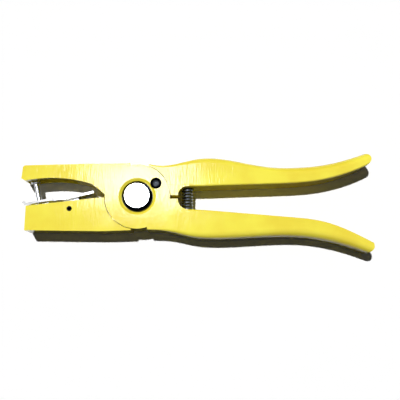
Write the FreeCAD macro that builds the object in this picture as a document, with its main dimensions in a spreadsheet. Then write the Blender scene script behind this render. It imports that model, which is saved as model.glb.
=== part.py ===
# Ear tag applicator: plier-type tool with two cast levers that cross at a half-lap pivot.
# Millimetres. The pivot axis is Z, the handles run along +X, the jaws along -X, and the tool
# lies on its back face at Z = 0. It is drawn in its locked pose, a little short of fully closed.
import FreeCAD, Part
import math
import os
import Sketcher

Vector = FreeCAD.Vector
LEFT = 1
RIGHT = -1

# Driving dimensions that stand by themselves.
SIZES = {
    # both levers
    "lever_thickness": 20.0,
    "disc_radius": 23.9,
    "disc_side_gap": 0.5,
    "disc_face_gap": 0.3,
    "edge_round": 1.2,
    "channel_width": 12.0,
    # stop shoulders, as angles round the pivot and heights above the other lever's disc
    "shoulder_height": 1.1,
    "upper_jaw_shoulder_angle": 103.8,
    "upper_handle_shoulder_angle": 72.0,
    "lower_jaw_shoulder_angle": 261.0,
    "lower_handle_shoulder_angle": 288.0,
    # gaps that are left between the levers where the tool stops when it closes
    "throat_upper": 1.2,
    "throat_lower": -1.2,
    "heel_upper": 1.1,
    "heel_lower": -1.5,
    "heel_length": 6.0,
    "arch_offset": 1.2,
    "arch_rise": 2.4,
    "root_overlap": 1.0,
    "handle_end_radius": 4.7,
    "upper_handle_slope": 23.0,
    "lower_handle_slope": -25.0,
    # upper jaw
    "upper_jaw_corner": 2.0,
    "upper_jaw_arch_rise": 3.2,
    "upper_roof_wall": 5.4,
    "upper_nose_wall": 2.3,
    "upper_channel_end": 22.0,
    # lower jaw
    "lower_jaw_corner": 1.6,
    "lower_floor_front": 6.0,
    "lower_floor_rear": 10.0,
    "lower_floor_step": 33.0,
    "lower_channel_end": 5.2,
    # pivot
    "bolt_radius": 6.0,
    "bolt_head_radius": 11.25,
    "bolt_head_height": 4.1,
    "bolt_head_bevel": 2.25,
    "dish_radius": 13.7,
    "dish_floor_radius": 11.6,
    "dish_depth": 1.2,
    "bush_wall": 2.0,
    "running_gap": 0.05,
    "head_gap": 0.1,
    "press_gap": 0.02,
    "nut_radius": 9.0,
    "nut_height": 3.5,
    "nut_side_gap": 0.4,
    "nut_spanner_hole": 1.0,
    "washer_thickness": 0.8,
    "washer_hole_gap": 0.1,
    # handle spring
    "spring_offset": 12.7,
    "spring_outer_radius": 4.25,
    "spring_wire_radius": 0.9,
    "spring_pocket_depth": 5.0,
    "spring_pocket_gap": 0.4,
    "spring_end_gap": 0.1,
    "spring_pitch": 2.4,
    # applicator pin and what holds it
    "pin_radius": 1.8,
    "pin_length": 20.5,
    "pin_point_length": 4.5,
    "pin_point_radius": 0.4,
    "pin_slant": 13.8,
    "pin_collar_radius": 3.5,
    "pin_collar_height": 3.0,
    "pin_thread_radius": 2.0,
    "pin_thread_depth": 3.4,
    "pin_nut_flats": 7.0,
    "pin_nut_height": 3.1,
    "pin_washer_radius": 3.7,
    "pin_washer_thickness": 0.8,
    "pin_seat_radius": 4.5,
    # tag clip
    "clip_width": 18.0,
    "clip_thickness": 1.6,
    "clip_bow": 0.9,
    "clip_lip_reach": 1.8,
    "clip_lip_rise": 2.0,
    "clip_fork_width": 9.0,
    "clip_fork_length": 14.7,
    "clip_corner": 3.0,
    "clip_ear_radius": 5.4,
    "clip_ear_thickness": 1.5,
    "clip_ear_gap": 0.5,
    "clip_notch_start": 59.5,
    "clip_notch_length": 2.5,
    "clip_notch_depth": 2.0,
    "clip_pin_radius": 1.9,
    "clip_pin_wall": 0.8,
    "clip_pin_slit": 0.7,
    "clip_pin_inset": 0.2,
    "clip_hole_gap": 0.08,
    # clip spring
    "clip_spring_set_in": 3.6,
    "clip_spring_radius": 3.2,
    "clip_spring_wire": 0.5,
    "clip_spring_gap": 0.3,
    "clip_spring_pocket": 2.0,
    "clip_spring_turns": 7.0,
    # lock button
    "lock_distance": 16.7,
    "lock_angle": 36.3,
    "lock_bore_radius": 4.2,
    "lock_bore_depth": 7.8,
    "lock_stem_radius": 2.2,
    "lock_stem_inset": 0.1,
    "lock_flange_radius": 3.9,
    "lock_flange_thickness": 1.4,
    "lock_flange_lift": 1.6,
    "lock_head_radius": 3.1,
    "lock_head_stand": 0.9,
    "lock_ring_thickness": 2.0,
    "lock_ring_stand": 0.3,
    "lock_spring_wire": 0.35,
    "lock_socket_depth": 5.0,
    "lock_socket_gap": 0.3,
}

# Places in the plane of the tool, from the pivot axis.
PLACES = {
    # upper jaw, on the front lever
    "upper_back": (-35.4, 24.0),
    "upper_nose_top": (-85.0, 22.1),
    "upper_nose_front": (-85.7, 12.2),
    "upper_nose_lip": (-82.6, 10.7),
    "upper_throat": (-33.7, 8.8),
    "upper_neck": (-27.9, 4.5),
    # lower jaw, on the rear lever
    "lower_belly": (-26.4, -26.1),
    "lower_nose_bottom": (-81.1, -26.1),
    "lower_nose_top": (-81.1, -8.1),
    "lower_throat": (-31.4, -1.8),
    # centres of the handles' round ends
    "upper_handle_end": (168.3, 30.5),
    "lower_handle_end": (168.0, -34.3),
    # pieces in the jaws
    "pin_foot": (-77.5, 10.6),
    "clip_front": (-81.3, -6.2),
    "clip_middle": (-53.4, -1.6),
    "clip_rear": (-32.6, 3.8),
    "clip_pivot": (-49.3, -9.8),
}

# Cross-sections of the two handles, from the stop shoulder to just past the tip: how far out each
# lies, the inner and outer edge of the upper handle, those of the lower one, and the round-over
# of both outer edges.
HANDLE_COLUMNS = ("x", "upper_inner", "upper_outer", "lower_inner", "lower_outer", "round")
HANDLE_SECTIONS = {
    "shoulder": (7.9, 7.9, 24.4, -9.2, -24.6, 0.8),
    "neck": (18.5, 7.9, 23.4, -9.2, -25.0, 1.2),
    "rise": (30.0, 7.9, 25.6, -9.2, -27.0, 2.4),
    "swell": (42.0, 7.9, 28.9, -9.2, -29.6, 3.6),
    "crest": (54.0, 8.4, 30.1, -9.8, -30.4, 4.4),
    "fall": (70.0, 9.2, 28.6, -10.9, -30.0, 5.0),
    "slope": (90.0, 10.1, 25.0, -12.3, -28.7, 5.2),
    "waist": (110.0, 11.1, 23.7, -13.7, -27.9, 5.6),
    "sweep": (130.0, 13.0, 25.1, -15.6, -29.2, 6.0),
    "bend": (148.0, 17.1, 28.5, -20.4, -32.8, 6.0),
    "flare": (162.0, 22.1, 32.7, -26.6, -37.0, 5.8),
    "end": (175.0, 28.8, 37.2, -33.2, -41.4, 5.0),
}

doc = FreeCAD.newDocument("ear_tag_applicator")
sheet = doc.addObject("Spreadsheet::Sheet", "Sizes")


class Size:
    """A dimension that carries its number and the formula that FreeCAD binds it to."""

    def __init__(self, value, text):
        self.value = value
        self.text = text

    def __add__(self, other):
        other = as_size(other)
        return Size(self.value + other.value, "(%s + %s)" % (self.text, other.text))

    def __sub__(self, other):
        other = as_size(other)
        return Size(self.value - other.value, "(%s - %s)" % (self.text, other.text))

    def __mul__(self, other):
        other = as_size(other)
        return Size(self.value * other.value, "(%s * %s)" % (self.text, other.text))

    def __truediv__(self, other):
        other = as_size(other)
        return Size(self.value / other.value, "(%s / %s)" % (self.text, other.text))

    def __neg__(self):
        return Size(-self.value, "(-%s)" % self.text)

    __radd__ = __add__
    __rmul__ = __mul__

    def __rsub__(self, other):
        return as_size(other) - self


def as_size(number):
    """A plain number or a Size, as a Size."""
    if isinstance(number, Size):
        return number
    return Size(float(number), "(%r)" % float(number))


def root(size):
    return Size(math.sqrt(size.value), "sqrt(%s)" % size.text)


def sine(angle):
    return Size(math.sin(math.radians(angle.value)), "sin(%s)" % angle.text)


def cosine(angle):
    return Size(math.cos(math.radians(angle.value)), "cos(%s)" % angle.text)


def length(name):
    """The named dimension, bound to its cell."""
    return Size(SIZES[name], "Sizes." + name)


def place(name):
    """The named place in the plane, bound to its two cells."""
    x, y = PLACES[name]
    return Size(x, "Sizes.%s_x" % name), Size(y, "Sizes.%s_y" % name)


def section(name, column):
    """One dimension of a named cross-section of the handles, bound to its cell."""
    number = HANDLE_SECTIONS[name][HANDLE_COLUMNS.index(column)]
    return Size(number, "Sizes.%s_%s" % (name, column))


def fill_sheet():
    """Write every dimension and place into the spreadsheet, one alias each."""
    cells = list(SIZES.items())
    for name, (x, y) in PLACES.items():
        cells.append((name + "_x", x))
        cells.append((name + "_y", y))
    for name, numbers in HANDLE_SECTIONS.items():
        for column, number in zip(HANDLE_COLUMNS, numbers):
            cells.append((name + "_" + column, number))
    for row, (name, value) in enumerate(cells, start=1):
        sheet.set("A%d" % row, name)
        sheet.set("B%d" % row, str(value))
        sheet.setAlias("B%d" % row, name)
    doc.recompute()


def polar(radius, angle):
    return radius * cosine(angle), radius * sine(angle)


class Outline:
    """A closed outline of corners that are joined by straight lines and arcs."""

    def __init__(self, x, y):
        self.corners = [(as_size(x), as_size(y))]
        self.edges = []

    def line(self, x, y):
        self.edges.append(None)
        self.corners.append((as_size(x), as_size(y)))

    def arc(self, x, y, radius, turn):
        """An arc of less than half a circle that bends to the left or the right."""
        self.edges.append((radius, turn))
        self.corners.append((as_size(x), as_size(y)))

    def bow(self, x, y, rise, turn):
        """An arc that stands off its chord by rise."""
        x0, y0 = self.corners[-1]
        chord_squared = (x - x0) * (x - x0) + (y - y0) * (y - y0)
        self.arc(x, y, (chord_squared / 4 + rise * rise) / (2 * rise), turn)

    def draw(self, sketch, closed=False):
        """Draw the outline, closed back to its first corner by a line if it is still open."""
        if closed:
            self.corners.pop()
        else:
            self.edges.append(None)
        ends = []
        for number, edge in enumerate(self.edges):
            start = self.corners[number]
            finish = self.corners[(number + 1) % len(self.corners)]
            p = Vector(start[0].value, start[1].value, 0)
            q = Vector(finish[0].value, finish[1].value, 0)
            if edge is None:
                sketch.addGeometry(Part.LineSegment(p, q))
                ends.append((1, 2))
            else:
                radius, turn = edge
                sketch.addGeometry(arc_between(p, q, radius.value, turn))
                ends.append((1, 2) if turn == LEFT else (2, 1))
        for number, edge in enumerate(self.edges):
            following = (number + 1) % len(self.edges)
            begin = ends[number][0]
            add_constraint(sketch, "Coincident", number, ends[number][1], following, ends[following][0])
            pin_down(sketch, number, begin, self.corners[number])
            if edge is not None:
                bind(sketch, ("Radius", number), edge[0])


def arc_between(p, q, radius, turn):
    half = p.distanceToPoint(q) / 2
    reach = math.sqrt(max(radius * radius - half * half, 0.0))
    left = Vector(p.y - q.y, q.x - p.x, 0)
    left.normalize()
    centre = (p + q) * 0.5 + left * (reach * turn)
    first = math.atan2(p.y - centre.y, p.x - centre.x)
    last = math.atan2(q.y - centre.y, q.x - centre.x)
    if turn == RIGHT:
        first, last = last, first
    circle = Part.Circle(centre, Vector(0, 0, 1), radius)
    return Part.ArcOfCircle(circle, first, last)


def add_constraint(sketch, *terms):
    return sketch.addConstraint(Sketcher.Constraint(*terms))


def bind(sketch, terms, size):
    """Add a dimensional constraint and bind it to the sheet."""
    number = add_constraint(sketch, *terms, size.value)
    sketch.setExpression("Constraints[%d]" % number, size.text)


def pin_down(sketch, geometry, end, corner):
    """Hold one point of a sketch at a corner, measured from the sketch's origin."""
    x, y = corner
    if x.value == 0.0:
        add_constraint(sketch, "PointOnObject", geometry, end, -2)
    else:
        bind(sketch, ("DistanceX", -1, 1, geometry, end), x)
    if y.value == 0.0:
        add_constraint(sketch, "PointOnObject", geometry, end, -1)
    else:
        bind(sketch, ("DistanceY", -1, 1, geometry, end), y)


def new_body(name, z=None):
    """A sub-part of its own, raised by z."""
    body = doc.addObject("PartDesign::Body", name)
    body.Label = name
    if z is not None:
        body.setExpression("Placement.Base.z", z.text)
    return body


def new_sketch(body, name, plane="XY_Plane", offset=None):
    sketch = body.newObject("Sketcher::SketchObject", name)
    support = [item for item in body.Origin.OriginFeatures if item.Role == plane][0]
    sketch.AttachmentSupport = [(support, "")]
    sketch.MapMode = "FlatFace"
    if offset is not None:
        sketch.setExpression("AttachmentOffset.Base.z", offset.text)
    return sketch


def circles(sketch, *rounds):
    """Draw circles, each given as (x, y, radius)."""
    for number, (x, y, radius) in enumerate(rounds):
        centre = Vector(as_size(x).value, as_size(y).value, 0)
        sketch.addGeometry(Part.Circle(centre, Vector(0, 0, 1), radius.value))
        pin_down(sketch, number, 3, (as_size(x), as_size(y)))
        bind(sketch, ("Radius", number), radius)


def pad(body, sketch, depth, symmetric=False, reverse=False):
    feature = body.newObject("PartDesign::Pad", sketch.Name + "_pad")
    feature.Profile = (sketch, [])
    feature.setExpression("Length", depth.text)
    feature.Reversed = reverse
    if symmetric:
        feature.SideType = "Symmetric"
    doc.recompute()
    return feature


def pocket(body, sketch, depth, symmetric=False, reverse=False):
    """Cut the sketch into the body and make sure that it took something away."""
    before = body.Shape.Volume
    feature = body.newObject("PartDesign::Pocket", sketch.Name + "_pocket")
    feature.Profile = (sketch, [])
    feature.setExpression("Length", depth.text)
    feature.Reversed = reverse
    if symmetric:
        feature.SideType = "Symmetric"
    doc.recompute()
    if body.Shape.Volume > before - 1e-3:
        raise RuntimeError("%s cuts nothing" % feature.Name)
    return feature


def turned(name, profile, plane="XZ_Plane", z=None):
    """A turned piece: its half profile, as an Outline of (radius, height), spun once round."""
    body = new_body(name, z)
    sketch = new_sketch(body, name + "_profile", plane)
    profile.draw(sketch)
    feature = body.newObject("PartDesign::Revolution", name + "_turn")
    feature.Profile = (sketch, [])
    feature.ReferenceAxis = (sketch, ["V_Axis"])
    feature.Angle = 360.0
    doc.recompute()
    return body


def drill(body, name, x, y, z, radius, depth, rotation):
    """A round hole from (x, y, z) along the direction that rotation turns +Z to."""
    before = body.Shape.Volume
    hole = body.newObject("PartDesign::SubtractiveCylinder", name)
    hole.setExpression("Radius", radius.text)
    hole.setExpression("Height", depth.text)
    hole.Placement = FreeCAD.Placement(Vector(x.value, y.value, z.value), rotation)
    hole.setExpression("Placement.Base.x", x.text)
    hole.setExpression("Placement.Base.y", y.text)
    hole.setExpression("Placement.Base.z", z.text)
    doc.recompute()
    if body.Shape.Volume > before - 1e-3:
        raise RuntimeError("%s cuts nothing" % name)
    return hole


def nearest_edge(shape, point):
    """The number of the edge that passes closest to a point."""
    vertex = Part.Vertex(point)
    distances = [edge.distToShape(vertex)[0] for edge in shape.Edges]
    return distances.index(min(distances)) + 1


def soften(body, name, points, radius):
    """Round the edges of a body that pass through the given points."""
    names = sorted({"Edge%d" % nearest_edge(body.Shape, point) for point in points})
    base = body.Tip
    feature = body.newObject("PartDesign::Fillet", name)
    feature.Base = (base, names)
    feature.setExpression("Radius", radius.text)
    doc.recompute()
    return feature


# Heights that several pieces share, from the middle plane of the levers.
half_thickness = length("lever_thickness") / 2
half_gap = length("disc_face_gap") / 2
recess_radius = length("disc_radius") + length("disc_side_gap")
shoulder_radius = recess_radius + length("shoulder_height")
bush_radius = length("bolt_radius") + length("running_gap") + length("bush_wall")
nut_bed = length("nut_height") + length("washer_thickness")
spring_x = length("disc_radius") + length("spring_offset")


def on_disc(y, side):
    """The point at height y on the rim of a disc."""
    radius = length("disc_radius")
    return side * root(radius * radius - y * y), y


def front_lever_outline():
    """Upper jaw, front disc and handle root, drawn round to the left from the jaw shoulder."""
    disc = length("disc_radius")
    jaw_angle = length("upper_jaw_shoulder_angle")
    shape = Outline(*polar(shoulder_radius, jaw_angle))
    shape.line(*place("upper_back"))
    shape.line(*place("upper_nose_top"))
    shape.line(*place("upper_nose_front"))
    shape.line(*place("upper_nose_lip"))
    shape.bow(*place("upper_throat"), length("upper_jaw_arch_rise"), RIGHT)
    shape.line(*place("upper_neck"))
    shape.line(*on_disc(length("throat_upper"), -1))
    root_y = section("swell", "lower_inner") - length("root_overlap")
    shape.arc(*on_disc(root_y, 1), disc, LEFT)
    handle_root(shape, root_y, section("swell", "lower_inner"), length("heel_lower"))
    shape.arc(*polar(disc, jaw_angle), disc, LEFT)
    return shape


def handle_root(shape, root_y, seat_y, heel_y):
    """The root of the lower handle: out from the disc, back round the spring and to the disc."""
    foot_x = spring_x + length("arch_offset")
    shape.line(foot_x, root_y)
    shape.line(foot_x, seat_y)
    shape.bow(length("disc_radius") + length("heel_length"), heel_y, length("arch_rise"), RIGHT)
    shape.line(*on_disc(heel_y, 1))


def rear_lever_outline():
    """Lower jaw, rear disc and handle root, drawn round to the left from the jaw shoulder."""
    disc = length("disc_radius")
    jaw_angle = length("lower_jaw_shoulder_angle")
    seat_y = section("swell", "upper_inner")
    root_y = seat_y + length("root_overlap")
    foot_x = spring_x + length("arch_offset")
    shape = Outline(*polar(shoulder_radius, jaw_angle))
    shape.line(*polar(disc, jaw_angle))
    shape.arc(*on_disc(length("heel_upper"), 1), disc, LEFT)
    shape.line(disc + length("heel_length"), length("heel_upper"))
    shape.bow(foot_x, seat_y, length("arch_rise"), RIGHT)
    shape.line(foot_x, root_y)
    shape.line(*on_disc(root_y, 1))
    shape.arc(*on_disc(length("throat_lower"), -1), disc, LEFT)
    shape.line(*place("lower_throat"))
    shape.line(*place("lower_nose_top"))
    shape.line(*place("lower_nose_bottom"))
    shape.line(*place("lower_belly"))
    return shape


def handle_section(body, name, handle):
    """One cross-section: crisp on its inner side and rounded over on its outer side."""
    sketch = new_sketch(body, handle + "_" + name, "YZ_Plane", section(name, "x"))
    inner = section(name, handle + "_inner")
    outer = section(name, handle + "_outer")
    small = length("edge_round")
    large = section(name, "round")
    if handle == "upper":
        low, high, low_round, high_round = inner, outer, small, large
    else:
        low, high, low_round, high_round = outer, inner, large, small
    shape = Outline(low + low_round, -half_thickness)
    shape.line(high - high_round, -half_thickness)
    shape.arc(high, high_round - half_thickness, high_round, LEFT)
    shape.line(high, half_thickness - high_round)
    shape.arc(high - high_round, half_thickness, high_round, LEFT)
    shape.line(low + low_round, half_thickness)
    shape.arc(low, half_thickness - low_round, low_round, LEFT)
    shape.line(low, low_round - half_thickness)
    shape.arc(low + low_round, -half_thickness, low_round, LEFT)
    shape.draw(sketch, closed=True)
    return sketch


def add_handle(body, handle):
    """Loft the handle through its sections, then trim its end to a round."""
    sketches = [handle_section(body, name, handle) for name in HANDLE_SECTIONS]
    loft = body.newObject("PartDesign::AdditiveLoft", handle + "_handle")
    loft.Profile = sketches[0]
    loft.Sections = sketches[1:]
    loft.Ruled = False
    doc.recompute()
    round_end(body, handle)
    return loft


def round_end(body, handle):
    """Cut the end of a handle to a half round, square to the slope of its last stretch."""
    x, y = place(handle + "_handle_end")
    slope = length(handle + "_handle_slope")
    radius = length("handle_end_radius")
    reach = radius * 3
    along = (cosine(slope), sine(slope))
    across = (-sine(slope), cosine(slope))
    shape = Outline(x - radius * across[0], y - radius * across[1])
    shape.arc(x + radius * along[0], y + radius * along[1], radius, LEFT)
    shape.arc(x + radius * across[0], y + radius * across[1], radius, LEFT)
    for ahead, aside in ((0, 1), (1, 1), (1, -1), (0, -1)):
        corner_x = x + reach * (ahead * along[0] + aside * across[0])
        corner_y = y + reach * (ahead * along[1] + aside * across[1])
        shape.line(corner_x, corner_y)
    sketch = new_sketch(body, handle + "_handle_round_end")
    shape.draw(sketch)
    pocket(body, sketch, length("lever_thickness") * 2, symmetric=True)


def lever_body(name, outline, handle):
    """The casting before its recesses: jaw, disc and root at full thickness, and the handle."""
    body = new_body(name, half_thickness)
    sketch = new_sketch(body, name + "_outline")
    outline.draw(sketch)
    pad(body, sketch, length("lever_thickness"), symmetric=True)
    add_handle(body, handle)
    return body


def half_lap(body, name, side):
    """Cut away one half of the lever's thickness round the pivot for the other lever's disc."""
    sketch = new_sketch(body, name, offset=side * half_gap)
    circles(sketch, (0, 0, recess_radius))
    pocket(body, sketch, length("lever_thickness"), reverse=side < 0)


def spring_seat(body, name, seat_y, side):
    """The blind round seat that holds one end of the handle spring."""
    depth = length("spring_pocket_depth")
    start_y = seat_y + side * depth
    reach = depth + length("spring_outer_radius")
    radius = length("spring_outer_radius") + length("spring_pocket_gap")
    turn = FreeCAD.Rotation(Vector(1, 0, 0), 90 * side)
    drill(body, name, spring_x, start_y, as_size(0), radius, reach, turn)


def front_lever():
    body = lever_body("front_lever", front_lever_outline(), "lower")
    half_lap(body, "front_half_lap", 1)
    corner_names = ("upper_nose_top", "upper_nose_front", "upper_nose_lip")
    corners = [Vector(*PLACES[name], 0) for name in corner_names]
    soften(body, "upper_nose_corners", corners, length("upper_jaw_corner"))

    # the hollow of the upper jaw, open downwards between its two cheeks
    hollow = new_sketch(body, "upper_hollow")
    nose_x, nose_y = place("upper_nose_front")
    back_x, back_y = place("upper_back")
    top_x, top_y = place("upper_nose_top")
    roof = length("upper_roof_wall")
    front_x = nose_x + length("upper_nose_wall")
    end_x = -(length("disc_radius") + length("upper_channel_end"))
    shape = Outline(front_x, 0)
    shape.line(end_x, 0)
    shape.line(end_x, back_y - roof)
    shape.line(front_x, top_y - roof)
    shape.draw(hollow)
    pocket(body, hollow, length("channel_width"), symmetric=True)

    # the seat and the blind hole for the applicator pin, square to its slanting axis
    foot_x, foot_y = place("pin_foot")
    slant = FreeCAD.Rotation(Vector(0, 0, 1), SIZES["pin_slant"]).multiply(UPRIGHT)
    drill(body, "pin_seat", foot_x, foot_y, as_size(0), length("pin_seat_radius"), pin_seat_height, slant)
    thread = length("pin_thread_radius") + length("press_gap")
    depth = pin_seat_height + length("pin_thread_depth") + length("press_gap")
    drill(body, "pin_thread", foot_x, foot_y, as_size(0), thread, depth, slant)

    spring_seat(body, "lower_spring_seat", section("swell", "lower_inner"), -1)

    # the bore, and the dish that the bolt's head lies in
    bore = new_sketch(body, "front_bore")
    circles(bore, (0, 0, bush_radius + length("press_gap")))
    pocket(body, bore, length("lever_thickness"), symmetric=True)
    dish = body.newObject("PartDesign::SubtractiveCone", "dish")
    dish.setExpression("Radius1", length("dish_floor_radius").text)
    dish.setExpression("Radius2", length("dish_radius").text)
    dish.setExpression("Height", length("dish_depth").text)
    dish.setExpression("Placement.Base.z", (half_thickness - length("dish_depth")).text)
    doc.recompute()

    # the stepped bore of the lock button
    wide = new_sketch(body, "lock_bore", offset=half_thickness)
    circles(wide, (*lock_place, length("lock_bore_radius")))
    pocket(body, wide, length("lock_bore_depth"))
    narrow = new_sketch(body, "lock_stem_hole", offset=half_thickness)
    circles(narrow, (*lock_place, length("lock_stem_radius") + length("running_gap")))
    pocket(body, narrow, length("lever_thickness"))
    return body


def rear_lever():
    body = lever_body("rear_lever", rear_lever_outline(), "upper")
    half_lap(body, "rear_half_lap", -1)
    corner_names = ("lower_nose_top", "lower_nose_bottom", "lower_belly")
    corners = [Vector(*PLACES[name], 0) for name in corner_names]
    soften(body, "lower_nose_corners", corners, length("lower_jaw_corner"))

    # the trough of the lower jaw, open upwards and at the nose, with a step in its floor
    trough = new_sketch(body, "lower_trough")
    bottom_x, bottom_y = place("lower_nose_bottom")
    front_x = bottom_x - length("lower_jaw_corner")
    end_x = -(recess_radius + length("lower_channel_end"))
    step_x = -(recess_radius + length("lower_floor_step"))
    front_y = bottom_y + length("lower_floor_front")
    rear_y = bottom_y + length("lower_floor_rear")
    shape = Outline(front_x, front_y)
    shape.line(step_x, front_y)
    shape.line(step_x, rear_y)
    shape.line(end_x, rear_y)
    shape.line(end_x, 0)
    shape.line(front_x, 0)
    shape.draw(trough)
    pocket(body, trough, length("channel_width"), symmetric=True)

    pivot = new_sketch(body, "clip_pivot_hole")
    circles(pivot, (*place("clip_pivot"), length("clip_pin_radius") + length("press_gap")))
    pocket(body, pivot, length("lever_thickness"), symmetric=True)
    seat_radius = length("clip_spring_radius") + length("clip_spring_gap")
    seat_depth = length("clip_spring_pocket")
    drill(body, "clip_spring_seat", clip_spring_x, rear_y - seat_depth, as_size(0),
          seat_radius, seat_depth + length("spring_end_gap"), UPRIGHT)

    spring_seat(body, "upper_spring_seat", section("swell", "upper_inner"), 1)

    # the bore, and the counterbore at the back for the nut and its washer
    bore = new_sketch(body, "rear_bore")
    circles(bore, (0, 0, bush_radius + length("press_gap")))
    pocket(body, bore, length("lever_thickness"), symmetric=True)
    counterbore = new_sketch(body, "nut_counterbore", offset=-half_thickness)
    circles(counterbore, (0, 0, length("nut_radius") + length("nut_side_gap")))
    pocket(body, counterbore, nut_bed, reverse=True)

    # the socket that the lock button's stem enters
    socket = new_sketch(body, "lock_socket", offset=-half_gap)
    circles(socket, (*lock_place, length("lock_stem_radius") + length("lock_socket_gap")))
    pocket(body, socket, length("lock_socket_depth"))
    return body


def pivot_bush(name, low, high):
    """A plain steel bush, pressed into one lever and turning on the bolt."""
    inner = length("bolt_radius") + length("running_gap")
    shape = Outline(inner, low)
    shape.line(bush_radius, low)
    shape.line(bush_radius, high)
    shape.line(inner, high)
    return turned(name, shape)


def pivot_bolt():
    shank = length("bolt_radius")
    head = length("bolt_head_radius")
    bevel = length("bolt_head_bevel")
    seat = length("lever_thickness") - length("dish_depth") + length("head_gap")
    top = seat + length("bolt_head_height")
    shape = Outline(0, 0)
    shape.line(shank, 0)
    shape.line(shank, seat)
    shape.line(head, seat)
    shape.line(head, top - bevel)
    shape.line(head - bevel, top)
    shape.line(0, top)
    return turned("pivot_bolt", shape)


def pivot_nut():
    """A flat round nut with two holes for a pin spanner."""
    bore = length("bolt_radius") + length("press_gap")
    high = length("nut_height")
    shape = Outline(bore, 0)
    shape.line(length("nut_radius"), 0)
    shape.line(length("nut_radius"), high)
    shape.line(bore, high)
    body = turned("pivot_nut", shape)
    middle = (bore + length("nut_radius")) / 2
    holes = new_sketch(body, "spanner_holes")
    spot = length("nut_spanner_hole")
    circles(holes, (middle, 0, spot), (-middle, 0, spot))
    pocket(body, holes, length("nut_height") / 2, reverse=True)
    return body


def pivot_washer():
    low = length("nut_height")
    high = nut_bed
    inner = length("bolt_radius") + length("washer_hole_gap")
    shape = Outline(inner, low)
    shape.line(length("nut_radius"), low)
    shape.line(length("nut_radius"), high)
    shape.line(inner, high)
    return turned("pivot_washer", shape)


def coil_spring(name, mean_radius, wire_radius, tallness, turns, placement):
    """A helical spring that stands on its local XY plane."""
    pitch = (tallness - 2 * wire_radius) / turns
    helix = Part.makeHelix(pitch, pitch * turns, mean_radius)
    circle = Part.Circle(Vector(mean_radius, 0, 0), Vector(0, 1, pitch / (2 * math.pi * mean_radius)), wire_radius)
    section = Part.Wire(circle.toShape())
    coil = Part.Wire(helix).makePipeShell([section], True, True)
    piece = doc.addObject("Part::Feature", name)
    piece.Label = name
    piece.Shape = coil
    lift = FreeCAD.Placement(Vector(0, 0, wire_radius), FreeCAD.Rotation())
    piece.Placement = placement.multiply(lift)
    return piece


def handle_spring():
    low = section("swell", "lower_inner") - length("spring_pocket_depth") + length("spring_end_gap")
    high = section("swell", "upper_inner") + length("spring_pocket_depth") - length("spring_end_gap")
    wire = length("spring_wire_radius")
    tallness = (high - low).value
    turns = round((tallness - 2 * wire.value) / SIZES["spring_pitch"])
    mean_radius = (length("spring_outer_radius") - wire).value
    spot = Vector(spring_x.value, low.value, half_thickness.value)
    return coil_spring("handle_spring", mean_radius, wire.value, tallness, turns,
                       FreeCAD.Placement(spot, UPRIGHT))


def stand_on_pin_axis(body):
    """Set a piece that is turned round its own Y axis on the slanting axis of the pin."""
    foot_x, foot_y = place("pin_foot")
    body.Placement.Rotation = FreeCAD.Rotation(Vector(0, 0, 1), SIZES["pin_slant"])
    body.setExpression("Placement.Base.x", foot_x.text)
    body.setExpression("Placement.Base.y", foot_y.text)
    body.setExpression("Placement.Base.z", half_thickness.text)
    body.setExpression("Placement.Rotation.Angle", "Sizes.pin_slant")
    doc.recompute()


def applicator_pin():
    radius = length("pin_radius")
    thread = length("pin_thread_radius")
    collar = length("pin_collar_radius")
    low = -length("pin_length")
    shape = Outline(0, low)
    shape.line(length("pin_point_radius"), low)
    shape.line(radius, low + length("pin_point_length"))
    shape.line(radius, 0)
    shape.line(collar, 0)
    shape.line(collar, length("pin_collar_height"))
    shape.line(thread, length("pin_collar_height"))
    shape.line(thread, pin_seat_height + length("pin_thread_depth"))
    shape.line(0, pin_seat_height + length("pin_thread_depth"))
    body = turned("applicator_pin", shape, "XY_Plane")
    stand_on_pin_axis(body)
    return body


def pin_locknut():
    """The hexagon nut that locks the applicator pin in the jaw."""
    body = new_body("pin_locknut")
    sketch = new_sketch(body, "pin_nut_hexagon", "XZ_Plane", offset=-length("pin_collar_height"))
    corner = length("pin_nut_flats") / 2 / cosine(as_size(30))
    shape = Outline(*polar(corner, as_size(0)))
    for side in range(1, 6):
        shape.line(*polar(corner, as_size(60 * side)))
    shape.draw(sketch)
    pad(body, sketch, length("pin_nut_height"), reverse=True)
    bore = new_sketch(body, "pin_nut_bore", "XZ_Plane", offset=-length("pin_collar_height"))
    circles(bore, (0, 0, length("pin_thread_radius") + length("press_gap")))
    pocket(body, bore, length("pin_nut_height"), reverse=False)
    stand_on_pin_axis(body)
    return body


def pin_washer():
    low = length("pin_collar_height") + length("pin_nut_height")
    inner = length("pin_thread_radius") + length("washer_hole_gap")
    shape = Outline(inner, low)
    shape.line(length("pin_washer_radius"), low)
    shape.line(length("pin_washer_radius"), pin_seat_height)
    shape.line(inner, pin_seat_height)
    body = turned("pin_washer", shape, "XY_Plane")
    stand_on_pin_axis(body)
    return body


def clip_slope_y(x):
    """The height of the clip's top face at x on its rear slope."""
    middle_x, middle_y = place("clip_middle")
    rear_x, rear_y = place("clip_rear")
    return middle_y + (rear_y - middle_y) * (x - middle_x) / (rear_x - middle_x)


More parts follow.
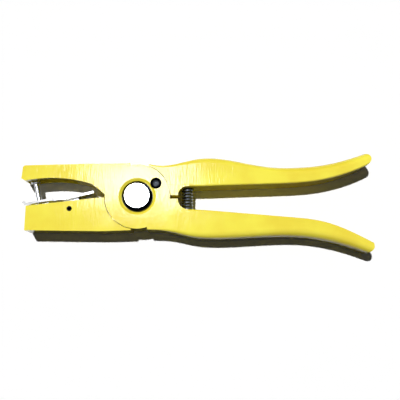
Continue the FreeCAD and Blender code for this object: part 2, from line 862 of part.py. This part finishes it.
def tag_clip():
    """The bent steel plate that holds the tag's back half, with two ears on the roll pin."""
    body = new_body("tag_clip", half_thickness)
    sheet_thickness = length("clip_thickness")
    front_x, front_y = place("clip_front")
    middle_x, middle_y = place("clip_middle")
    rear_x, rear_y = place("clip_rear")
    lip_x = front_x - length("clip_lip_reach")
    lip_y = front_y + length("clip_lip_rise")
    side = new_sketch(body, "clip_side")
    shape = Outline(front_x, front_y)
    shape.line(lip_x, lip_y)
    shape.line(lip_x - sheet_thickness * 0.8, lip_y - sheet_thickness * 0.6)
    shape.line(front_x - sheet_thickness * 0.4, front_y - sheet_thickness)
    shape.bow(middle_x + sheet_thickness * 0.1, middle_y - sheet_thickness, length("clip_bow"), RIGHT)
    shape.line(rear_x + sheet_thickness * 0.3, rear_y - sheet_thickness)
    shape.line(rear_x, rear_y)
    shape.line(middle_x, middle_y)
    shape.bow(front_x, front_y, length("clip_bow"), LEFT)
    shape.draw(side, closed=True)
    pad(body, side, length("clip_width"), symmetric=True)

    # the fork that the applicator pin passes through
    fork = new_sketch(body, "clip_fork")
    fork_start = lip_x - length("clip_thickness") * 2
    fork_end = front_x + length("clip_fork_length")
    reach = length("clip_lip_rise") * 3
    shape = Outline(fork_start, front_y - reach)
    shape.line(fork_end, front_y - reach)
    shape.line(fork_end, front_y + reach * 2)
    shape.line(fork_start, front_y + reach * 2)
    shape.draw(fork)
    pocket(body, fork, length("clip_fork_width"), symmetric=True)

    # notches in both long edges, where the ears were folded down
    notch_x = -length("clip_notch_start")
    for side_name, side_sign in (("front", 1), ("back", -1)):
        notch = new_sketch(body, "clip_notch_" + side_name, offset=side_sign * length("clip_width") / 2)
        shape = Outline(notch_x - length("clip_notch_length"), front_y)
        shape.line(notch_x, front_y)
        shape.line(notch_x, rear_y)
        shape.line(notch_x - length("clip_notch_length"), rear_y)
        shape.draw(notch)
        pocket(body, notch, length("clip_notch_depth"), reverse=side_sign < 0)

    # the ears
    pivot_x, pivot_y = place("clip_pivot")
    radius = length("clip_ear_radius")
    outer = length("channel_width") / 2 - length("clip_ear_gap")
    for side_name, side_sign in (("front", 1), ("back", -1)):
        ear = new_sketch(body, "clip_ear_" + side_name, offset=side_sign * outer)
        shape = Outline(pivot_x - radius, clip_slope_y(pivot_x - radius) - sheet_thickness / 2)
        shape.line(pivot_x - radius, pivot_y)
        shape.arc(pivot_x, pivot_y - radius, radius, LEFT)
        shape.arc(pivot_x + radius, pivot_y, radius, LEFT)
        shape.line(pivot_x + radius, clip_slope_y(pivot_x + radius) - sheet_thickness / 2)
        shape.draw(ear)
        pad(body, ear, length("clip_ear_thickness"), reverse=side_sign > 0)
    hole = new_sketch(body, "clip_ear_hole")
    circles(hole, (pivot_x, pivot_y, length("clip_pin_radius") + length("clip_hole_gap")))
    pocket(body, hole, length("channel_width"), symmetric=True)
    return body


def clip_pivot_pin():
    """A rolled spring pin through both cheeks of the lower jaw."""
    outer = length("clip_pin_radius")
    inner = outer - length("clip_pin_wall")
    half = half_thickness - length("clip_pin_inset")
    shape = Outline(inner, -half)
    shape.line(outer, -half)
    shape.line(outer, half)
    shape.line(inner, half)
    body = turned("clip_pivot_pin", shape, z=half_thickness)
    slit = new_sketch(body, "clip_pin_slit", "XY_Plane")
    width = length("clip_pin_slit")
    shape = Outline(inner / 2, -width / 2)
    shape.line(outer * 2, -width / 2)
    shape.line(outer * 2, width / 2)
    shape.line(inner / 2, width / 2)
    shape.draw(slit)
    pocket(body, slit, length("lever_thickness"), symmetric=True)
    x, y = place("clip_pivot")
    body.setExpression("Placement.Base.x", x.text)
    body.setExpression("Placement.Base.y", y.text)
    doc.recompute()
    return body


def clip_spring():
    floor_y = place("lower_nose_bottom")[1] + length("lower_floor_rear") - length("clip_spring_pocket")
    low = (floor_y + length("spring_end_gap")).value
    inner_x = clip_spring_x - length("clip_spring_radius")
    under = clip_slope_y(inner_x) - length("clip_thickness") - length("spring_end_gap")
    wire = SIZES["clip_spring_wire"]
    spot = Vector(clip_spring_x.value, low, half_thickness.value)
    return coil_spring("clip_spring", SIZES["clip_spring_radius"] - wire, wire, under.value - low,
                       SIZES["clip_spring_turns"], FreeCAD.Placement(spot, UPRIGHT))


def lock_button():
    stem = length("lock_stem_radius")
    low = half_thickness + half_gap + length("lock_stem_inset")
    flange = lock_floor + length("lock_flange_lift")
    flange_top = flange + length("lock_flange_thickness")
    top = length("lever_thickness") + length("lock_head_stand")
    head = length("lock_head_radius")
    crown = head / 3
    shape = Outline(0, low)
    shape.line(stem, low)
    shape.line(stem, flange)
    shape.line(length("lock_flange_radius"), flange)
    shape.line(length("lock_flange_radius"), flange_top)
    shape.line(head, flange_top)
    shape.line(head, top - crown)
    shape.line(head - crown, top)
    shape.line(0, top)
    return set_on_lock_axis(turned("lock_button", shape))


def lock_ring():
    """The threaded ring that keeps the button in its bore."""
    inner = length("lock_head_radius") + length("running_gap") * 2
    outer = length("lock_bore_radius") - length("press_gap")
    high = length("lever_thickness") + length("lock_ring_stand")
    low = length("lever_thickness") - length("lock_ring_thickness")
    shape = Outline(inner, low)
    shape.line(outer, low)
    shape.line(outer, high)
    shape.line(inner, high)
    return set_on_lock_axis(turned("lock_ring", shape))


def lock_spring():
    wire = SIZES["lock_spring_wire"]
    gap = SIZES["spring_end_gap"] / 2
    mean_radius = (SIZES["lock_stem_radius"] + SIZES["lock_flange_radius"]) / 2
    tallness = SIZES["lock_flange_lift"] - 2 * gap
    spot = Vector(lock_place[0].value, lock_place[1].value, lock_floor.value + gap)
    return coil_spring("lock_spring", mean_radius, wire, tallness, 1.0,
                       FreeCAD.Placement(spot, FreeCAD.Rotation()))


def set_on_lock_axis(body):
    body.setExpression("Placement.Base.x", lock_place[0].text)
    body.setExpression("Placement.Base.y", lock_place[1].text)
    doc.recompute()
    return body


def write_parts(pieces):
    """Check every object and every sub-part, then write one STEP file for each sub-part."""
    doc.recompute()
    for item in doc.Objects:
        faults = [state for state in item.State if state in ("Invalid", "Error")]
        if faults:
            raise RuntimeError("%s is %s" % (item.Name, faults))
    for piece in pieces:
        if piece.Shape.isNull() or not piece.Shape.isValid():
            raise RuntimeError("%s has no valid shape" % piece.Label)
    os.makedirs("parts", exist_ok=True)
    for piece in pieces:
        piece.Shape.exportStep("parts/%s.step" % piece.Label)


UPRIGHT = FreeCAD.Rotation(Vector(1, 0, 0), -90)
pin_seat_height = length("pin_collar_height") + length("pin_nut_height") + length("pin_washer_thickness")
lock_place = polar(length("lock_distance"), length("lock_angle"))
lock_floor = length("lever_thickness") - length("lock_bore_depth")
clip_spring_x = place("clip_rear")[0] - length("clip_spring_set_in")

fill_sheet()
write_parts([
    front_lever(),
    rear_lever(),
    pivot_bush("front_bush", half_thickness + half_gap, length("lever_thickness") - length("dish_depth")),
    pivot_bush("rear_bush", nut_bed, half_thickness - half_gap),
    pivot_bolt(),
    pivot_nut(),
    pivot_washer(),
    handle_spring(),
    applicator_pin(),
    pin_locknut(),
    pin_washer(),
    tag_clip(),
    clip_pivot_pin(),
    clip_spring(),
    lock_button(),
    lock_ring(),
    lock_spring(),
])
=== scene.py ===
import math

import bmesh
import bpy
from mathutils import Matrix, Vector


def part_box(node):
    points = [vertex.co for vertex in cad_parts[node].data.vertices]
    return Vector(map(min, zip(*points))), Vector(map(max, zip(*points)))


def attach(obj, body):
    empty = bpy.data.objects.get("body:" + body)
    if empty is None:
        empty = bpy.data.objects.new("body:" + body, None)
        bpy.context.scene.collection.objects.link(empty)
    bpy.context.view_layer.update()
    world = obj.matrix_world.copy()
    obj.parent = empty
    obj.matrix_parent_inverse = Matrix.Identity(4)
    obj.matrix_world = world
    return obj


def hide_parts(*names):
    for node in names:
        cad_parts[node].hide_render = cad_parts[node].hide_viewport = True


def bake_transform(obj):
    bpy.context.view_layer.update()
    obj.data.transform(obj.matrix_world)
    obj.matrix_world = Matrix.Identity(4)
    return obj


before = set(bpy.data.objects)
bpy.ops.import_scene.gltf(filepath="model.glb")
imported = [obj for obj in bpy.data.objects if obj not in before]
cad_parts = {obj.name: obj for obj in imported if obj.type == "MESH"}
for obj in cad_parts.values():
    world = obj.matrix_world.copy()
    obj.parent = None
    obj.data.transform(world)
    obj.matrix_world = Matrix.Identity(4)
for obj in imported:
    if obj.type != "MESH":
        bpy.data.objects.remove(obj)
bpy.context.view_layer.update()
MM = 0.001


# Levers: two gravity-cast aluminium levers that cross at a half-lap round the pivot. Each is
# fettled along its length, then sprayed with yellow enamel, which runs thin over the file marks.
def srgb(code):
    """A hex colour as linear red, green, blue and alpha."""
    channels = [int(code[i:i + 2], 16) / 255 for i in (1, 3, 5)]
    linear = [c / 12.92 if c <= 0.04045 else ((c + 0.055) / 1.055) ** 2.4 for c in channels]
    return (*linear, 1.0)


def add_node(tree, kind, links=None, inputs=None, **settings):
    """Add a node, with its settings, its input values and its input links."""
    node = tree.nodes.new(kind)
    for key, value in settings.items():
        setattr(node, key, value)
    for key, value in (inputs or {}).items():
        node.inputs[key].default_value = value
    for key, socket in (links or {}).items():
        tree.links.new(socket, node.inputs[key])
    return node


def new_material(name):
    """An empty node material, with its tree and its output node."""
    material = bpy.data.materials.new(name)
    material.use_nodes = True
    material.node_tree.nodes.clear()
    output = add_node(material.node_tree, "ShaderNodeOutputMaterial")
    return material, material.node_tree, output


def set_ramp(node, stops):
    """Give a colour ramp its stops, as pairs of position and colour."""
    elements = node.color_ramp.elements
    while len(elements) < len(stops):
        elements.new(0.5)
    for element, (position, colour) in zip(elements, stops):
        element.position = position
        element.color = colour


def dress(node_name, material):
    """Put a material on every slot of a frame node."""
    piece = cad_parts[node_name]
    if not piece.material_slots:
        piece.data.materials.append(material)
    for slot in piece.material_slots:
        slot.material = material


def per_metre(size_mm):
    """The scale of a pattern whose features are this many millimetres apart."""
    return 1 / (size_mm * MM)


def yellow_enamel():
    """Sprayed enamel: a clear glossy film, slightly uneven in colour, over faint file marks."""
    material, tree, output = new_material("yellow_enamel")
    place = add_node(tree, "ShaderNodeTexCoord").outputs["Object"]
    # the film is thicker in some places, over patches about 28 mm wide
    patches = add_node(tree, "ShaderNodeTexNoise", {"Vector": place},
                       {"Scale": per_metre(28), "Detail": 3.0})
    colour = add_node(tree, "ShaderNodeValToRGB", {"Fac": patches.outputs["Fac"]})
    set_ramp(colour, [(0.35, srgb("#F2DC3A")), (0.65, srgb("#FBEE48"))])
    # file marks run across the tool; real ones are 0.3 mm apart, drawn 1.2 mm apart so that they show
    stretch = add_node(tree, "ShaderNodeMapping", {"Vector": place},
                       {"Scale": (per_metre(1.2), per_metre(9), per_metre(4))})
    marks = add_node(tree, "ShaderNodeTexNoise", {"Vector": stretch.outputs["Vector"]},
                     {"Scale": 1.0, "Detail": 2.0, "Distortion": 0.4})
    mark_bump = add_node(tree, "ShaderNodeBump", {"Height": marks.outputs["Fac"]},
                         {"Strength": 0.55, "Distance": 0.12 * MM})
    # orange peel of the sprayed film, 1.6 mm from crest to crest
    peel = add_node(tree, "ShaderNodeTexNoise", {"Vector": place},
                    {"Scale": per_metre(1.6), "Detail": 1.0})
    peel_bump = add_node(tree, "ShaderNodeBump",
                         {"Height": peel.outputs["Fac"], "Normal": mark_bump.outputs["Normal"]},
                         {"Strength": 0.12, "Distance": 0.10 * MM})
    # castings are never quite flat: soft waves 14 mm long
    waves = add_node(tree, "ShaderNodeTexNoise", {"Vector": place},
                     {"Scale": per_metre(14), "Detail": 0.0})
    wave_bump = add_node(tree, "ShaderNodeBump",
                         {"Height": waves.outputs["Fac"], "Normal": peel_bump.outputs["Normal"]},
                         {"Strength": 0.25, "Distance": 0.5 * MM})
    gloss = add_node(tree, "ShaderNodeMapRange", {"Value": patches.outputs["Fac"]},
                     {"To Min": 0.10, "To Max": 0.15})
    surface = add_node(tree, "ShaderNodeBsdfPrincipled",
                       {"Base Color": colour.outputs["Color"], "Roughness": gloss.outputs["Result"],
                        "Normal": wave_bump.outputs["Normal"]},
                       {"IOR": 1.52})
    tree.links.new(surface.outputs["BSDF"], output.inputs["Surface"])
    return material


enamel = yellow_enamel()
for lever in ("front_lever", "rear_lever"):
    dress(lever, enamel)


# Pivot bolt: turned from steel bar with a broad bevelled head, polished and chromium plated.
# It turns in two steel bushes and is held at the back by a flat nut on a washer.
def polished_chrome(name, light, dark, painted_shade_from_mm):
    """Chromium on polished steel: a sharp mirror with faint turning rings, coloured dark past a radius as
    painted shade that stands in for a dark reflection.
    """
    material, tree, output = new_material(name)
    place = add_node(tree, "ShaderNodeTexCoord").outputs["Object"]
    haze = add_node(tree, "ShaderNodeTexNoise", {"Vector": place},
                    {"Scale": per_metre(5), "Detail": 3.0})
    gloss = add_node(tree, "ShaderNodeMapRange", {"Value": haze.outputs["Fac"]},
                     {"To Min": 0.05, "To Max": 0.13})
    rings = add_node(tree, "ShaderNodeTexWave", {"Vector": place},
                     {"Scale": per_metre(2.4), "Distortion": 0.5},
                     wave_type="RINGS", rings_direction="Z")
    bump = add_node(tree, "ShaderNodeBump", {"Height": rings.outputs["Fac"]},
                    {"Strength": 0.04, "Distance": 0.02 * MM})
    across = add_node(tree, "ShaderNodeMapping", {"Vector": place}, {"Scale": (1, 1, 0)})
    radius = add_node(tree, "ShaderNodeVectorMath", {0: across.outputs["Vector"]}, operation="LENGTH")
    # painted shade: past this radius the chrome's colour turns dark, standing in for a dark reflection
    painted_shade_zone = add_node(tree, "ShaderNodeMath", {0: radius.outputs["Value"]}, {1: painted_shade_from_mm * MM},
                    operation="GREATER_THAN")
    colour = add_node(tree, "ShaderNodeValToRGB", {"Fac": painted_shade_zone.outputs["Value"]})
    set_ramp(colour, [(0.0, srgb(light)), (1.0, srgb(dark))])
    surface = add_node(tree, "ShaderNodeBsdfPrincipled",
                       {"Base Color": colour.outputs["Color"], "Roughness": gloss.outputs["Result"],
                        "Normal": bump.outputs["Normal"]},
                       {"Metallic": 1.0})
    tree.links.new(surface.outputs["BSDF"], output.inputs["Surface"])
    return material


def turned_steel(name, light, dark, smooth, rough, mark_mm):
    """Bare or zinc plated steel: a grey metal, a little cloudy, with fine machining marks."""
    material, tree, output = new_material(name)
    place = add_node(tree, "ShaderNodeTexCoord").outputs["Object"]
    cloud = add_node(tree, "ShaderNodeTexNoise", {"Vector": place},
                     {"Scale": per_metre(4), "Detail": 4.0})
    colour = add_node(tree, "ShaderNodeValToRGB", {"Fac": cloud.outputs["Fac"]})
    set_ramp(colour, [(0.3, srgb(dark)), (0.7, srgb(light))])
    gloss = add_node(tree, "ShaderNodeMapRange", {"Value": cloud.outputs["Fac"]},
                     {"To Min": smooth, "To Max": rough})
    marks = add_node(tree, "ShaderNodeTexNoise", {"Vector": place},
                     {"Scale": per_metre(mark_mm), "Detail": 2.0})
    bump = add_node(tree, "ShaderNodeBump", {"Height": marks.outputs["Fac"]},
                    {"Strength": 0.15, "Distance": 0.03 * MM})
    surface = add_node(tree, "ShaderNodeBsdfPrincipled",
                       {"Base Color": colour.outputs["Color"], "Roughness": gloss.outputs["Result"],
                        "Normal": bump.outputs["Normal"]},
                       {"Metallic": 1.0})
    tree.links.new(surface.outputs["BSDF"], output.inputs["Surface"])
    return material


# painted shade: the head's bevel and side are coloured dark to stand in for their dark reflection, and
# only its flat top keeps the bright chrome colour
bolt_head_flat = 9.02
head_chrome = polished_chrome("chrome_head_with_painted_shade", "#E4E6E9", "#2B3039", bolt_head_flat)
zinc = turned_steel("zinc_plated_steel", "#C9CBCD", "#A9ACB0", 0.28, 0.42, 0.5)
dress("pivot_bolt", head_chrome)
for piece_name in ("pivot_nut", "pivot_washer", "front_bush", "rear_bush"):
    dress(piece_name, zinc)


# Handle spring: close-wound compression spring of blued steel wire, seated in two blind holes,
# with its end turns closed and ground flat. It pushes the handles apart.
def coil(name, mean_radius, wire, base, direction, height, turns, closed, sides, steps):
    """Wind round wire into a spring: closed end turns, open middle turns, ground ends."""
    closed_rise = wire * 2.04
    open_rise = (height - 2 * closed * closed_rise) / (turns - 2 * closed)
    work = bmesh.new()
    ring = bmesh.ops.create_circle(work, segments=sides, radius=wire)
    upright = Matrix.Translation((mean_radius, 0, 0)) @ Matrix.Rotation(math.pi / 2, 4, "X")
    bmesh.ops.transform(work, matrix=upright, verts=ring["verts"])
    last = ring["verts"] + work.edges[:]
    for count, rise in ((closed, closed_rise), (turns - 2 * closed, open_rise), (closed, closed_rise)):
        stations = round(steps * count)
        spun = bmesh.ops.spin(work, geom=last, cent=(0, 0, 0), axis=(0, 0, 1), angle=count * math.tau,
                              dvec=(0, 0, rise * count / stations), steps=stations, use_merge=False)
        last = spun["geom_last"]
    for level, outside in ((0, -1), (height, 1)):
        bmesh.ops.bisect_plane(work, geom=work.verts[:] + work.edges[:] + work.faces[:],
                               plane_co=(0, 0, level), plane_no=(0, 0, outside), clear_outer=True)
    open_edges = [edge for edge in work.edges if edge.is_boundary]
    bmesh.ops.holes_fill(work, edges=open_edges, sides=0)
    bmesh.ops.recalc_face_normals(work, faces=work.faces[:])
    for face in work.faces:
        face.smooth = len(face.verts) == 4
    stand = Matrix.Translation(base) @ Vector(direction).to_track_quat("Z", "X").to_matrix().to_4x4()
    bmesh.ops.transform(work, matrix=stand, verts=work.verts[:])
    mesh = bpy.data.meshes.new(name)
    work.to_mesh(mesh)
    work.free()
    piece = bpy.data.objects.new(name, mesh)
    bpy.context.collection.objects.link(piece)
    return piece


low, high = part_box("handle_spring")
spring_wire = 0.9 * MM
spring_mean = (high.x - low.x) / 2 - spring_wire
spring_base = Vector(((low.x + high.x) / 2, low.y, (low.z + high.z) / 2))
spring_height = high.y - low.y
spring_turns = 12
end_turns = 1
spring = coil("handle_spring_wire", spring_mean, spring_wire, spring_base, (0, 1, 0), spring_height,
              spring_turns, end_turns, 14, 40)
blued = turned_steel("blued_spring_steel", "#A3ADBA", "#565E6A", 0.16, 0.28, 0.4)
spring.data.materials.append(blued)
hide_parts("handle_spring")
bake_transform(spring)


# Applicator pin: ground steel pin with a tapered point, chromium plated. Its thread goes up into
# the upper jaw, where a hexagon locknut on a washer holds it.
chrome = turned_steel("chromed_pin_steel", "#E2E4E7", "#CDD0D4", 0.06, 0.14, 0.3)
dress("applicator_pin", chrome)
for piece_name in ("pin_locknut", "pin_washer"):
    dress(piece_name, zinc)


# Tag clip: stamped from bright spring steel strip, folded to two ears and tumbled. A rolled pin
# of black oxide steel through the lower jaw holds it, and a small coil spring lifts its rear end.
clip_steel = turned_steel("tumbled_clip_steel", "#E8E9EA", "#CFD1D3", 0.16, 0.28, 0.35)
black_oxide = turned_steel("black_oxide_steel", "#26272A", "#121315", 0.35, 0.5, 0.4)
dress("tag_clip", clip_steel)
dress("clip_pivot_pin", black_oxide)
low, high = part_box("clip_spring")
clip_wire = 0.5 * MM
clip_spring_base = Vector(((low.x + high.x) / 2, low.y, (low.z + high.z) / 2))
clip_spring_turns = 7
clip_spring_wire = coil("clip_spring_wire", (high.x - low.x) / 2 - clip_wire, clip_wire, clip_spring_base,
                        (0, 1, 0), high.y - low.y, clip_spring_turns, end_turns, 10, 32)
clip_spring_wire.data.materials.append(zinc)
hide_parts("clip_spring")
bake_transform(clip_spring_wire)


# Lock button: turned and chromed steel button with a domed head, which slides in a
# bevelled ring screwed into the front disc. A light spring under its flange lifts it.
def turned_piece(profile, steps):
    """Spin a profile of (radius, height) points round an upright axis."""
    work = bmesh.new()
    corners = [work.verts.new((radius, 0, height)) for radius, height in profile]
    edges = [work.edges.new(pair) for pair in zip(corners, corners[1:])]
    bmesh.ops.spin(work, geom=corners + edges, cent=(0, 0, 0), axis=(0, 0, 1), dvec=(0, 0, 0),
                   angle=math.tau, steps=steps, use_merge=True)
    bmesh.ops.remove_doubles(work, verts=work.verts[:], dist=0.002 * MM)
    bmesh.ops.recalc_face_normals(work, faces=work.faces[:])
    return work


def finish_piece(name, work, centre, material):
    """Turn a finished bmesh into an object in its place."""
    bmesh.ops.translate(work, vec=centre, verts=work.verts[:])
    mesh = bpy.data.meshes.new(name)
    work.to_mesh(mesh)
    work.free()
    piece = bpy.data.objects.new(name, mesh)
    bpy.context.collection.objects.link(piece)
    piece.data.materials.append(material)
    return piece


low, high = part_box("lock_button")
lock_centre = Vector(((low.x + high.x) / 2, (low.y + high.y) / 2, 0))
flange_radius = (high.x - low.x) / 2
stem_radius = 2.2 * MM
head_radius = 3.1 * MM
flange_low = 13.8 * MM
flange_high = 15.2 * MM
dome_top = high.z + 0.3 * MM
dome_height = 1.5 * MM
dome_steps = 8
dome_radius = (head_radius ** 2 + dome_height ** 2) / (2 * dome_height)
dome_angle = math.asin(head_radius / dome_radius)
button_profile = [(0, low.z), (stem_radius, low.z), (stem_radius, flange_low), (flange_radius, flange_low),
                  (flange_radius, flange_high), (head_radius, flange_high)]
for step in range(dome_steps + 1):
    angle = dome_angle * (1 - step / dome_steps)
    button_profile.append((dome_radius * math.sin(angle), dome_top - dome_radius * (1 - math.cos(angle))))
work = turned_piece(button_profile, 48)
for face in work.faces:
    face.smooth = face.calc_center_median().z > dome_top - dome_height
black_chrome = turned_steel("black_chromed_steel", "#8C95A2", "#343A44", 0.10, 0.22, 0.8)
button = finish_piece("lock_button_domed", work, lock_centre, black_chrome)
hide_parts("lock_button")
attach(button, "button")

low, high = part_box("lock_ring")
ring_outer = (high.x - low.x) / 2
ring_inner = head_radius + 0.1 * MM
ring_bevel = 0.8 * MM
rim = 0.25 * MM
ring_profile = [(ring_inner, low.z), (ring_outer, low.z), (ring_outer, high.z - rim),
                (ring_outer - rim, high.z), (ring_inner, high.z - ring_bevel), (ring_inner, low.z)]
work = turned_piece(ring_profile, 48)
ring = finish_piece("lock_ring_bevelled", work, lock_centre, black_oxide)
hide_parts("lock_ring")
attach(ring, "front")
dress("lock_spring", zinc)


# Studio: a white floor under one hard lamp and one long soft panel, both high on the jaw side.
# The room behind them is white overhead and dark near the floor, so bright metal has an outline.
def studio_floor():
    """Matt white board, which throws little light back up under the tool."""
    material, tree, output = new_material("white_board")
    rays = add_node(tree, "ShaderNodeLightPath")
    colour = add_node(tree, "ShaderNodeValToRGB", {"Fac": rays.outputs["Is Diffuse Ray"]})
    set_ramp(colour, [(0.0, srgb("#FFFFFF")), (1.0, srgb("#474747"))])
    surface = add_node(tree, "ShaderNodeBsdfPrincipled", {"Base Color": colour.outputs["Color"]},
                       {"Roughness": 1.0, "Specular IOR Level": 0.0})
    tree.links.new(surface.outputs["BSDF"], output.inputs["Surface"])
    return material


work = bmesh.new()
bmesh.ops.create_circle(work, cap_ends=True, segments=64, radius=6.0)
floor = finish_piece("studio_floor", work, Vector((0, 0, -0.1 * MM)), studio_floor())

target = Vector((46.1, -2.3, 20)) * MM
camera_distance = 0.400
tilt = math.radians(80)
camera_data = bpy.data.cameras.new("camera")
camera_data.angle = math.radians(40.2)
camera_data.clip_start = 0.01
camera = bpy.data.objects.new("camera", camera_data)
camera.location = target + camera_distance * Vector((0, -math.cos(tilt), math.sin(tilt)))
roll = math.radians(0.7)
look = (target - camera.location).to_track_quat("-Z", "Y")
camera.rotation_mode = "QUATERNION"
camera.rotation_quaternion = look @ Matrix.Rotation(roll, 4, "Z").to_quaternion()
bpy.context.collection.objects.link(camera)
bpy.context.scene.camera = camera

sun_data = bpy.data.lights.new("hard_lamp", "SUN")
sun_data.energy = 3.25
sun_data.angle = math.radians(1.6)
sun = bpy.data.objects.new("hard_lamp", sun_data)
sun.rotation_mode = "QUATERNION"
sun.rotation_quaternion = Vector((4.6, -7.5, -24)).to_track_quat("-Z", "Y")
bpy.context.collection.objects.link(sun)
sun.visible_glossy = False

panel_data = bpy.data.lights.new("soft_panel", "AREA")
panel_data.shape = "RECTANGLE"
panel_data.size = 0.344
panel_data.size_y = 0.17
panel_data.energy = 4.2
panel = bpy.data.objects.new("soft_panel", panel_data)
panel.location = Vector((-182, 345, 1620)) * MM
bpy.context.collection.objects.link(panel)
panel.visible_diffuse = False

world = bpy.data.worlds.new("studio")
bpy.context.scene.world = world
world.use_nodes = True
tree = world.node_tree
tree.nodes.clear()
rays = add_node(tree, "ShaderNodeLightPath")
direction = add_node(tree, "ShaderNodeTexCoord").outputs["Generated"]
height = add_node(tree, "ShaderNodeSeparateXYZ", {"Vector": direction}).outputs["Z"]
ceiling = add_node(tree, "ShaderNodeMapRange", {"Value": height},
                   {"From Min": 0.25, "From Max": 0.75, "To Min": 0.03, "To Max": 0.7},
                   interpolation_type="SMOOTHSTEP")
mirror = add_node(tree, "ShaderNodeMath", {0: rays.outputs["Is Glossy Ray"], 1: ceiling.outputs["Result"]},
                  operation="MULTIPLY")
seen = add_node(tree, "ShaderNodeMath",
                {0: rays.outputs["Is Camera Ray"], 1: rays.outputs["Is Transmission Ray"]},
                operation="MAXIMUM")
bright = add_node(tree, "ShaderNodeMath", {0: seen.outputs["Value"], 1: mirror.outputs["Value"]},
                  operation="MAXIMUM")
fill = add_node(tree, "ShaderNodeMath", {0: bright.outputs["Value"]}, {1: 0.03}, operation="MAXIMUM")
background = add_node(tree, "ShaderNodeBackground", {"Strength": fill.outputs["Value"]},
                      {"Color": (1.0, 1.0, 1.0, 1.0)})
add_node(tree, "ShaderNodeOutputWorld", {"Surface": background.outputs["Background"]})

bpy.context.scene.view_settings.view_transform = "Standard"
